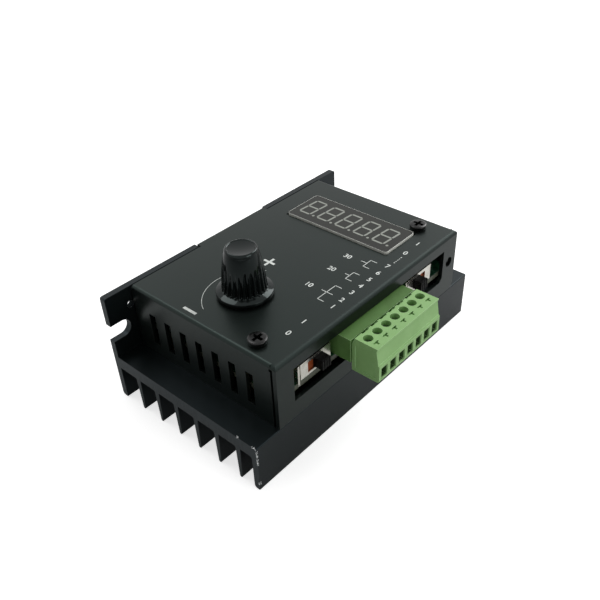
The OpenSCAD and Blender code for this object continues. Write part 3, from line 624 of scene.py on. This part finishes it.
def repeated(name: str, part: Piece, places: Sequence[Vector], finish: Finish) -> Piece:
    """Repeat a part, modelled about the origin, at each place.

    Args:
        name: name of the piece.
        part: the part to repeat, which is removed afterwards.
        places: where the part's own origin goes, in metres.
        finish: the finish of all copies.

    Returns:
        One plain mesh.
    """
    cloud = bpy.data.meshes.new(name + "_places")
    cloud.from_pydata([tuple(place) for place in places], [], [])
    marks = link(name + "_places", cloud)
    pattern = Pattern(name)
    holder, item = pattern.inputs(places="Object", part="Object")
    spots = add(pattern.tree, "GeometryNodeObjectInfo", {"Object": holder})
    copy = add(pattern.tree, "GeometryNodeObjectInfo", {"Object": item})
    copies = first(pattern.tree, "GeometryNodeInstanceOnPoints",
                   {"Points": spots.outputs["Geometry"], "Instance": copy.outputs["Geometry"]})
    piece = pattern.build(name, copies, finish, places=marks, part=part)
    bpy.data.objects.remove(marks)
    bpy.data.objects.remove(part)
    LOG.info("%s: %d copies", name, len(places))
    return piece


@dataclass
class PanScrew:
    """A cross-recess pan-head screw, modelled about the seat of its head.

    The recess has its depth in head heights, and its reach and half width in head radii. The taper is how
    much smaller its floor is than its mouth, along an arm and across it.
    """

    head_d: float
    head_h: float
    shank_r: float
    shank_len: float
    recess: Triple = (0.8, 0.7, 0.19)
    taper: Pair = (0.55, 0.7)
    over: float = 0.2

    def build(self, name: str) -> Piece:
        """Turn the head and shank and sink the tapered cross recess."""
        radius, top = self.head_d / 2, self.head_h
        neck, tip = self.shank_r, -self.shank_len
        profile = [(0.0, tip), (neck - 0.2, tip), (neck, 0.3 + tip), (neck, 0.0), (radius - 0.25, 0.0),
                   (radius - 0.12, 0.15), (radius, top - 0.42), (radius - 0.02, top - 0.3),
                   (radius - 0.1, top - 0.2), (radius - 0.24, top - 0.12), (radius * 0.7, top - 0.05),
                   (radius * 0.4, top - 0.01), (0.0, top)]
        body = turned(name, profile, Vector((0, 0, 0)))
        cutter = bmesh.new()
        depth, reach, half = top * self.recess[0], radius * self.recess[1], radius * self.recess[2]
        for turn in (0.0, math.pi / 2):
            made = bmesh.ops.create_cube(cutter, size=1.0)["verts"]
            for vert in made:
                low = vert.co.z < 0
                along, across = self.taper if low else (1.0, 1.0)
                vert.co = Vector((vert.co.x * 2 * reach * along, vert.co.y * 2 * half * across,
                                  top - depth if low else top + self.over)) * MM
            bmesh.ops.rotate(cutter, verts=made, matrix=Matrix.Rotation(turn, 3, "Z"))
        knife_mesh = bpy.data.meshes.new(name + "_recess")
        cutter.to_mesh(knife_mesh)
        cutter.free()
        knife = link(name + "_recess", knife_mesh)
        modify(body, "recess", "BOOLEAN", object=knife, solver="EXACT", use_self=True)
        cut = plain_mesh(name, body)
        bpy.data.objects.remove(knife)
        return cut


# Sub-assemblies.


@dataclass
class HeatSink:
    """The extrusion: fins, base, back wall and its drilled hole."""

    hole: Pair = (7.6, 29.4)
    hole_r: float = 1.1
    wall_front: float = 54.0
    # The rim is bare metal laid only where a glint falls, a painted highlight.
    # The bright rim: its span, its width at the ends and what the middle adds, and its edges' depths.
    glint_deg: Pair = (80.0, 275.0)
    rim_steps: int = 30
    rim_wide: Pair = (0.04, 0.13)
    rim_depth: Pair = (0.12, -0.01)

    def build(self) -> None:
        """Dress the extrusion and add the bright rim, a painted highlight, on one side of its drilled hole.
        """
        softened("heat_sink", "sink_extrusion", 0.16, SINK, SINK_EDGE_HIGHLIGHT, "case")
        shape = bmesh.new()
        start, end = map(math.radians, self.glint_deg)
        for i in range(self.rim_steps):
            loop = []
            for turn in (i, i + 1):
                angle = start + (end - start) * turn / self.rim_steps
                wide = self.rim_wide[0] + self.rim_wide[1] * math.sin(math.pi * turn / self.rim_steps)
                for radius, depth in zip((self.hole_r - 0.02, self.hole_r + wide), self.rim_depth):
                    loop.append(at(self.hole[0] + radius * math.cos(angle), self.wall_front + depth,
                                   self.hole[1] + radius * math.sin(angle)))
            shape.faces.new([shape.verts.new(loop[k]) for k in (0, 1, 3, 2)])
        rim = from_bmesh("hole_rim", shape)
        dress(hole_rim=BARE_RIM_GLINT)
        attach(rim, "case")


@dataclass
class Cover:
    """The folded cover and the two screws that hold it."""

    screw_x: Pair = (13.0, 81.5)
    screw_y: float = 10.0
    screw: PanScrew = field(default_factory=lambda: PanScrew(5.1, 1.55, 1.25, 4.9))

    def build(self) -> None:
        """Dress the sheet and stand detailed screws on it."""
        softened("cover", "cover_sheet", 0.12, SHEET, SHEET_EDGE_HIGHLIGHT, "case")
        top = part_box("cover")[1].z / MM
        part = self.screw.build("cover_screw")
        screws = repeated("cover_screw_pair", part, [at(x, self.screw_y, top) for x in self.screw_x], OXIDE)
        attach(screws, "case")
        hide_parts("cover_screws")


@dataclass
class Dial:
    """The push-on knob and the parts that turn in the potentiometer."""

    axis: Pair = (25.4, 26.6)
    skirt_r: float = 7.7
    flutes: int = 24
    steps_per_flute: int = 14
    flute_floor: float = 5.45
    flute_half: float = 0.6
    # Heights above the underside where the flutes begin, their floor starts to lean in, and they run out.
    flute_foot: Pair = (1.55, 1.85)
    lean_from: float = 6.5
    lean: float = 0.05
    flute_end: Pair = (9.5, 12.0)

    def profile(self) -> list[Pair]:
        """Radius and height pairs of the knob, heights above its underside."""
        foot = [(0.0, 11.0), (3.05, 11.0), (3.05, 0.8), (3.6, 0.8), (3.6, 0.0), (self.skirt_r - 0.2, 0.0),
                (self.skirt_r, 0.2), (self.skirt_r, 0.85), (self.skirt_r - 0.1, 1.08),
                (self.skirt_r - 0.35, 1.2), (6.5, 1.5)]
        grip = smooth_run([(6.2, 1.62), (6.13, 1.9), (6.03, 2.6), (5.9, 4.0), (5.72, 6.0), (5.5, 8.0),
                           (5.24, 9.6), (4.95, 11.0), (4.66, 12.2), (4.46, 12.9), (4.33, 13.35),
                           (4.14, 13.64), (3.9, 13.75), (3.72, 13.66), (3.6, 13.55)])
        dish = [(3.6 * (1 - i / 8), 13.2 + 0.35 * (1 - i / 8) ** 2) for i in range(1, 8)]
        return [*foot, *grip, *dish, (0.0, 13.2)]

    def build(self) -> None:
        """Turn the knob, press the flutes into it and dress the moving and fixed parts."""
        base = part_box("knob")[0].z / MM
        centre = at(*self.axis, 0)
        blank = turned("knob_blank", [(r, h + base) for r, h in self.profile()], centre,
                       self.flutes * self.steps_per_flute)
        knob = self.fluted(blank, centre, base)
        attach(knob, "dial")
        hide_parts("knob")
        dress(dial_shaft=ZINC, dial_housing=CASTING, dial_base=LAMINATE, dial_terminals=TIN)

    def fluted(self, blank: Piece, centre: Vector, base: float) -> Piece:
        """Press flutes into a turned blank: each is a hollow that follows the side of the grip.

        Args:
            blank: the turned knob, which is removed.
            centre: a point on its axis.
            base: height of its underside in millimetres.

        Returns:
            The fluted knob.
        """
        pattern = Pattern("knob_flutes")
        tree = pattern.tree
        source, count, floor, half = pattern.inputs(blank="Object", flutes="Float", floor="Float",
                                                    half="Float")
        work = partial(calc, tree)
        shape = add(tree, "GeometryNodeObjectInfo", {"Object": source}).outputs["Geometry"]
        place = first(tree, "GeometryNodeInputPosition")
        local = vector(tree, "SUBTRACT", place, (centre.x, centre.y, 0.0))
        x, y, z = add(tree, "ShaderNodeSeparateXYZ", {0: local}).outputs
        radial = first(tree, "ShaderNodeCombineXYZ", {0: x, 1: y})
        span = add(tree, "ShaderNodeVectorMath", {0: radial}, operation="LENGTH").outputs["Value"]
        turn = work("MULTIPLY", work("ARCTAN2", y, x), work("DIVIDE", count, 2 * math.pi))
        offset = work("ABSOLUTE", work("SUBTRACT", work("FRACT", turn), 0.5))
        aside = work("MULTIPLY", work("MULTIPLY", offset, span), work("DIVIDE", 2 * math.pi, count))
        valley = work("SUBTRACT", 1.0, ramp(tree, aside, work("MULTIPLY", half, 0.1), half))
        foot = ramp(tree, work("SUBTRACT", z, base * MM), *(h * MM for h in self.flute_foot))
        close = work("SUBTRACT", 1.0, ramp(tree, z, *((base + h) * MM for h in self.flute_end)))
        rise = work("MAXIMUM", work("SUBTRACT", z, (base + self.lean_from) * MM), 0.0)
        level = work("SUBTRACT", floor, work("MULTIPLY", rise, self.lean))
        deep = work("MAXIMUM", work("SUBTRACT", span, level), 0.0)
        amount = work("MULTIPLY", work("MULTIPLY", deep, work("MULTIPLY", foot, close)), valley)
        inward = vector(tree, "NORMALIZE", radial)
        push = first(tree, "ShaderNodeVectorMath", {0: inward, "Scale": work("MULTIPLY", amount, -1.0)},
                     operation="SCALE")
        moved = first(tree, "GeometryNodeSetPosition", {"Geometry": shape, "Offset": push})
        knob = pattern.build("dial_knob", moved, KNOB, blank=blank, flutes=float(self.flutes),
                             floor=self.flute_floor * MM, half=self.flute_half * MM)
        bpy.data.objects.remove(blank)
        LOG.info("dial_knob: %d flutes", self.flutes)
        return knob


@dataclass
class Display:
    """The digit display: grey case, dark face, milky segments and pins."""

    def build(self) -> None:
        """Dress the four nodes."""
        softened("display_housing", "display_case", 0.1, DISPLAY_CASE, DISPLAY_RIM_HIGHLIGHT, "case")
        dress(display_face=DISPLAY_FACE, display_segments=SEGMENT, display_pins=TIN)


class Switch(Enum):
    """The two slide switches, by the prefix of their nodes."""

    RANGE = "range_switch"
    MODE = "mode_switch"


@dataclass
class SlideSwitch:
    """One slide switch: tinned frame, laminate base, terminals, thumb piece and bridge."""

    which: Switch

    def build(self) -> None:
        """Dress the five nodes of the switch."""
        prefix = self.which.value
        slider = prefix.replace("switch", "slider")
        softened(f"{prefix}_frame", f"{prefix}_folded_frame", 0.08, TIN, TIN, "case")
        softened(f"{prefix}_thumb", f"{prefix}_thumb_piece", 0.12, THUMB, THUMB, slider)
        dress(**{f"{prefix}_base": LAMINATE, f"{prefix}_terminals": TIN, f"{prefix}_bridge": BRONZE})


@dataclass
class Terminal:
    """The pluggable terminal: header and pins on the board, plug with contacts, screws and cages."""

    ways: int = 7

    def build(self) -> None:
        """Dress both halves and the moving clamps."""
        softened("terminal_header", "header_moulding", 0.1, HEADER_GREEN_SHADED, PLUG_EDGE_HIGHLIGHT, "case")
        softened("plug_housing", "plug_moulding", 0.15, PLUG_GREEN, PLUG_EDGE_HIGHLIGHT, "plug")
        dress(header_pins=TIN, plug_contacts=BRONZE)
        for way in range(1, self.ways + 1):
            dress(**{f"clamp_screw_{way}": WELL_ZINC_SHADED, f"wire_clamp_{way}": TIN})


@dataclass
class CircuitBoard:
    """The board with its fasteners and the parts that stand on it or hang below it."""

    screw_x: Pair = (13.0, 81.5)
    screw_y: float = 46.0
    screw: PanScrew = field(default_factory=lambda: PanScrew(4.6, 1.5, 1.25, 4.5))
    # Centre, radius and height of each can, and the height of its square base.
    cans: tuple[tuple[float, float, float, float], ...] = (
        (44, 42, 4, 9), (54, 42, 4, 9), (45, 21, 3.15, 7.7))
    can_base: float = 0.6
    coil: Pair = (21.0, 46.5)
    coil_r: float = 4.4
    coil_turns: int = 8
    wire_r: float = 0.2
    coil_low: float = 1.25
    coil_pitch: float = 0.44
    part_count: int = 22
    part_x: Pair = (34, 52)
    part_y: Pair = (26, 36)
    part_size: Triple = (1.6, 0.8, 0.45)
    part_mid: float = 0.24

    def build(self) -> None:
        """Dress the board and build its screws, capacitors, coil and small chips."""
        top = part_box("circuit_board")[1].z / MM
        dress(circuit_board=BOARD, tall_posts=BRASS_SHADED, short_posts=BRASS_SHADED, power_transistors=TRANSISTOR,
              thermal_pads=SILICONE, transistor_screws=ZINC, controller_chip=CHIP, amplifier_chips=CHIP,
              sense_resistor=CHIP, inductor=FERRITE)
        part = self.screw.build("board_screw")
        screws = repeated("board_screw_pair", part, [at(x, self.screw_y, top) for x in self.screw_x], ZINC)
        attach(screws, "case")
        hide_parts("board_screws")
        self.capacitors(top)
        self.winding(top)
        self.small_parts(top)

    def capacitors(self, top: float) -> None:
        """Turn the capacitor cans, each rolled in above its base, and add their square bases."""
        foot = top + self.can_base
        shape = bmesh.new()
        for x, y, radius, height in self.cans:
            end = top + height
            profile = [(0.0, foot), (radius, foot), (radius, top + 1.5), (radius - 0.25, top + 1.75),
                       (radius, top + 2.0), (radius, end - 0.4), (radius - 0.12, end - 0.12),
                       (radius - 0.4, end), (0.0, end)]
            can = turned("can", profile, at(x, y, 0))
            shape.from_mesh(can.data)
            bpy.data.objects.remove(can)
        for x, y, radius, _ in self.cans:
            low, high = at(x - radius, y - radius, top), at(x + radius, y + radius, foot)
            made = bmesh.ops.create_cube(shape, size=1.0)["verts"]
            for vert in made:
                vert.co = Vector([low[i] if vert.co[i] < 0 else high[i] for i in range(3)])
            for face in {face for vert in made for face in vert.link_faces}:
                face.material_index = 1
        cans = from_bmesh("capacitor_cans", shape)
        cans.data.materials.append(CAN.material())
        cans.data.materials.append(CAN_BASE.material())
        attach(cans, "case")
        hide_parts("capacitors")

    def winding(self, top: float) -> None:
        """Wind copper turns round the inductor's core."""
        pattern = Pattern("coil_turns")
        tree = pattern.tree
        turns, radius, gauge, start, rise = pattern.inputs(turns="Int", radius="Float", gauge="Float",
                                                           start="Vector", rise="Vector")
        ring = first(tree, "GeometryNodeCurvePrimitiveCircle", {"Resolution": ROUND, "Radius": radius})
        section = first(tree, "GeometryNodeCurvePrimitiveCircle", {"Resolution": 8, "Radius": gauge})
        wire = first(tree, "GeometryNodeCurveToMesh", {"Curve": ring, "Profile Curve": section})
        line = first(tree, "GeometryNodeMeshLine", {"Count": turns, "Start Location": start, "Offset": rise})
        stack = first(tree, "GeometryNodeInstanceOnPoints", {"Points": line, "Instance": wire})
        coil = pattern.build("inductor_winding", stack, COPPER, turns=self.coil_turns,
                             radius=self.coil_r * MM, gauge=self.wire_r * MM,
                             start=at(*self.coil, top + self.coil_low),
                             rise=Vector((0, 0, self.coil_pitch * MM)))
        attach(coil, "case")

    def small_parts(self, top: float) -> None:
        """Scatter small surface-mount parts over the free parts of the board."""
        rng = random.Random(7)
        shape = bmesh.new()
        made = bmesh.ops.create_cube(shape, size=1.0)["verts"]
        long, wide, tall = self.part_size
        for vert in made:
            vert.co = Vector((vert.co.x * long, vert.co.y * wide, vert.co.z * tall + self.part_mid)) * MM
        part = from_bmesh("small_part", shape)
        places = [at(rng.uniform(*self.part_x), rng.uniform(*self.part_y), top)
                  for _ in range(self.part_count)]
        parts = repeated("surface_parts", part, places, EPOXY)
        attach(parts, "case")


@dataclass
class Legend:
    """The white print on the cover: dial arc and signs, brackets, dashes and plain numbers."""

    arc_centre: Pair = (25.1, 24.4)
    arc_r: float = 12.78
    arc_line: float = 0.14
    arc_deg: Pair = (25.0, 153.0)
    arc_steps: int = 72
    line: float = 0.2
    # Bars of the minus and plus signs: start, end and width.
    signs: tuple[tuple[Pair, Pair, float], ...] = (
        ((11.1, 30.1), (11.1, 34.8), 0.85), ((38.3, 32.0), (42.3, 32.0), 0.75),
        ((40.3, 30.0), (40.3, 31.62), 0.75), ((40.3, 32.38), (40.3, 34.0), 0.75))
    # Brackets: both ends, place of the bar, end of the stem, and whether the stem crosses the bar.
    brackets: tuple[tuple[float, float, float, float, bool], ...] = (
        (54.97, 58.6, 10.25, 12.2, False), (47.25, 50.9, 10.3, 11.9, False),
        (35.55, 43.0, 10.25, 12.0, True))
    arm: float = 2.1
    stem: float = 2.0
    dots: tuple[Pair, ...] = tuple((61.4 + i * 0.85, 61.9 + i * 0.85) for i in range(5))
    dots_y: float = 4.45
    # Places of the ways' numbers, which count down, and all other numbers with their places.
    ways_x: tuple[float, ...] = (59.0, 54.8, 50.8, 47.0, 43.2, 39.0, 35.3)
    row_y: float = 4.9
    numbers: tuple[tuple[str, float, float], ...] = (
        ("30", 56.2, 16.6), ("20", 48.6, 16.2), ("10", 39.0, 16.2), ("1", 73.8, 4.9), ("0", 67.6, 4.9),
        ("1", 26.0, 6.6), ("0", 20.2, 6.6))
    digit_h: float = 1.75
    font_size: float = 1.4
    bolder: float = 0.04
    turn_deg: float = -90.0
    shape: bmesh.types.BMesh = field(default_factory=bmesh.new)
    # The ink's height over the sheet, and its level once the cover is known.
    lift: float = 0.012
    level: float = 0.0

    def face(self, corners: Sequence[Pair | Vector]) -> None:
        """Add one flat patch of ink given by case coordinates."""
        self.shape.faces.new([self.shape.verts.new(at(x, y, self.level)) for x, y in corners])

    def bar(self, start: Pair, end: Pair, width: float) -> None:
        """Add a straight line of ink."""
        a, b = Vector(start), Vector(end)
        along = b - a
        side = Vector((-along.y, along.x)).normalized() * width / 2
        self.face([a - side, b - side, b + side, a + side])

    def arc(self) -> None:
        """Add the arc of the dial."""
        start, end = map(math.radians, self.arc_deg)
        inner, outer = self.arc_r - self.arc_line / 2, self.arc_r + self.arc_line / 2
        cx, cy = self.arc_centre
        for i in range(self.arc_steps):
            a, b = (start + (end - start) * k / self.arc_steps for k in (i, i + 1))
            self.face([(cx + r * math.cos(t), cy + r * math.sin(t))
                       for r, t in ((inner, a), (outer, a), (outer, b), (inner, b))])

    def bracket(self, x0: float, x1: float, y: float, stem_y: float, crossed: bool) -> None:
        """Add a bracket whose two arms point to the front edge."""
        self.bar((x0, y), (x1, y), self.line)
        for x in (x0, x1):
            self.bar((x, y), (x, y - self.arm), self.line)
        centre = (x0 + x1) / 2
        self.bar((centre, stem_y), (centre, y - self.stem if crossed else y), self.line)

    def number(self, text: str, x: float, y: float) -> None:
        """Add a plain number, read from the left end of the case."""
        curve = settle(bpy.data.curves.new("number", "FONT"), body=text, size=self.digit_h * self.font_size,
                       align_x="CENTER", align_y="CENTER", offset=self.bolder)
        temp = link("number", curve)
        bpy.context.view_layer.update()
        mesh = bpy.data.meshes.new_from_object(temp)
        mesh.transform(Matrix.Rotation(math.radians(self.turn_deg), 4, "Z"))
        mesh.transform(Matrix.Scale(MM, 4))
        mesh.transform(Matrix.Translation(at(x, y, self.level)))
        self.shape.from_mesh(mesh)
        bpy.data.objects.remove(temp)

    def build(self) -> None:
        """Print everything as one piece of ink."""
        self.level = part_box("cover")[1].z / MM + self.lift
        self.arc()
        for sign in self.signs:
            self.bar(*sign)
        for bracket in self.brackets:
            self.bracket(*bracket)
        for left, right in self.dots:
            self.bar((left, self.dots_y), (right, self.dots_y), self.line)
        for index, x in enumerate(self.ways_x):
            self.number(str(len(self.ways_x) - index), x, self.row_y)
        for number in self.numbers:
            self.number(*number)
        ink = from_bmesh("printed_marks", self.shape)
        dress(printed_marks=INK)
        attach(ink, "case")
        LOG.info("printed_marks: %d faces", len(ink.data.polygons))


@dataclass
class Studio:
    """Camera, floor, lamps and world."""

    focal_mm: float = 42.753
    sensor_mm: float = 36.0
    eye: Triple = (-124.983, -110.196, 144.721)
    turn_deg: Triple = (52.387, 1.5735, -49.1971)
    shift: Pair = (-0.017815, 0.02724)
    # Strengths for other rays, for the camera, and for glossy and transmission rays.
    sky: Triple = (0.3, 1.0, 1.0)
    # The same for the floor's glow, which is added to its own lit colour.
    floor_glow: Pair = (0.68, 0.1)
    floor_colour: str = "#e2e2e2"
    lamps: tuple[tuple[str, Triple, float, float], ...] = (
        ("key", (0.5, -0.06, 0.42), 0.4, 3.0), ("back", (-0.06, 0.34, 0.55), 0.3, 0.9),
        ("front_fill", (0.05, -0.7, 0.27), 0.4, 1.5))

    def camera(self) -> None:
        """Stand the camera where the photograph was taken from."""
        data = settle(bpy.data.cameras.new("camera"), sensor_width=self.sensor_mm, lens=self.focal_mm,
                      shift_x=self.shift[0], shift_y=self.shift[1], clip_start=0.01)
        camera = link("camera", data)
        camera.location = Vector(self.eye) * MM
        camera.rotation_euler = Euler([*map(math.radians, self.turn_deg)])
        bpy.context.scene.camera = camera

    def lamp(self, name: str, place: Triple, size: float, power: float) -> None:
        """Aim one square soft lamp at the middle of the module."""
        lamp = link(name, settle(bpy.data.lights.new(name, "AREA"), size=size, energy=power))
        lamp.location = place
        aim = Vector((0, 0, 0.02)) - Vector(place)
        lamp.rotation_euler = aim.to_track_quat("-Z", "Y").to_euler()

    def strength(self, tree: Tree, other: float, camera: float, mirror: float) -> Socket:
        """A strength by the kind of ray: camera, glossy or transmission, and any other."""
        path = add(tree, "ShaderNodeLightPath").outputs
        shiny = calc(tree, "MAXIMUM", path["Is Glossy Ray"], path["Is Transmission Ray"])
        base = first(tree, "ShaderNodeMapRange", {0: path["Is Camera Ray"], 3: other, 4: camera})
        return first(tree, "ShaderNodeMath", {0: shiny, 1: mirror - other, 2: base}, operation="MULTIPLY_ADD")

    def floor(self) -> None:
        """Lay the pale floor, white to the camera and keeping the module's shadow."""
        shape = bmesh.new()
        bmesh.ops.create_grid(shape, x_segments=1, y_segments=1, size=3.0)
        floor = from_bmesh("floor", shape)
        material = bpy.data.materials.new("pale_floor")
        tree = empty_tree(material)
        board = first(tree, "ShaderNodeBsdfDiffuse", {"Color": linear(self.floor_colour)})
        glow = first(tree, "ShaderNodeEmission", {"Strength": self.strength(tree, 0.0, *self.floor_glow)})
        both = first(tree, "ShaderNodeAddShader", {0: board, 1: glow})
        add(tree, "ShaderNodeOutputMaterial", {0: both})
        floor.data.materials.append(material)

    def world(self) -> None:
        """A plain pale world, white where it is seen."""
        world = bpy.data.worlds.new("studio")
        tree = empty_tree(world)
        strength = self.strength(tree, *self.sky)
        sky = first(tree, "ShaderNodeBackground", {"Color": (1, 1, 1, 1), "Strength": strength})
        add(tree, "ShaderNodeOutputWorld", {0: sky})
        bpy.context.scene.world = world

    def build(self) -> None:
        """Set up everything round the module."""
        self.camera()
        self.floor()
        self.world()
        for lamp in self.lamps:
            self.lamp(*lamp)
        bpy.context.scene.view_settings.view_transform = "Standard"


def main() -> None:
    """Load the module, dress it part by part and light it."""
    logging.basicConfig(level=logging.INFO, format="%(message)s")
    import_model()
    Studio().build()
    parts = (HeatSink(), Cover(), Dial(), Display(), SlideSwitch(Switch.RANGE), SlideSwitch(Switch.MODE),
             Terminal(), CircuitBoard(), Legend())
    for part in parts:
        part.build()
        LOG.info("built %s", type(part).__name__)


if __name__ == "__main__":
    main()
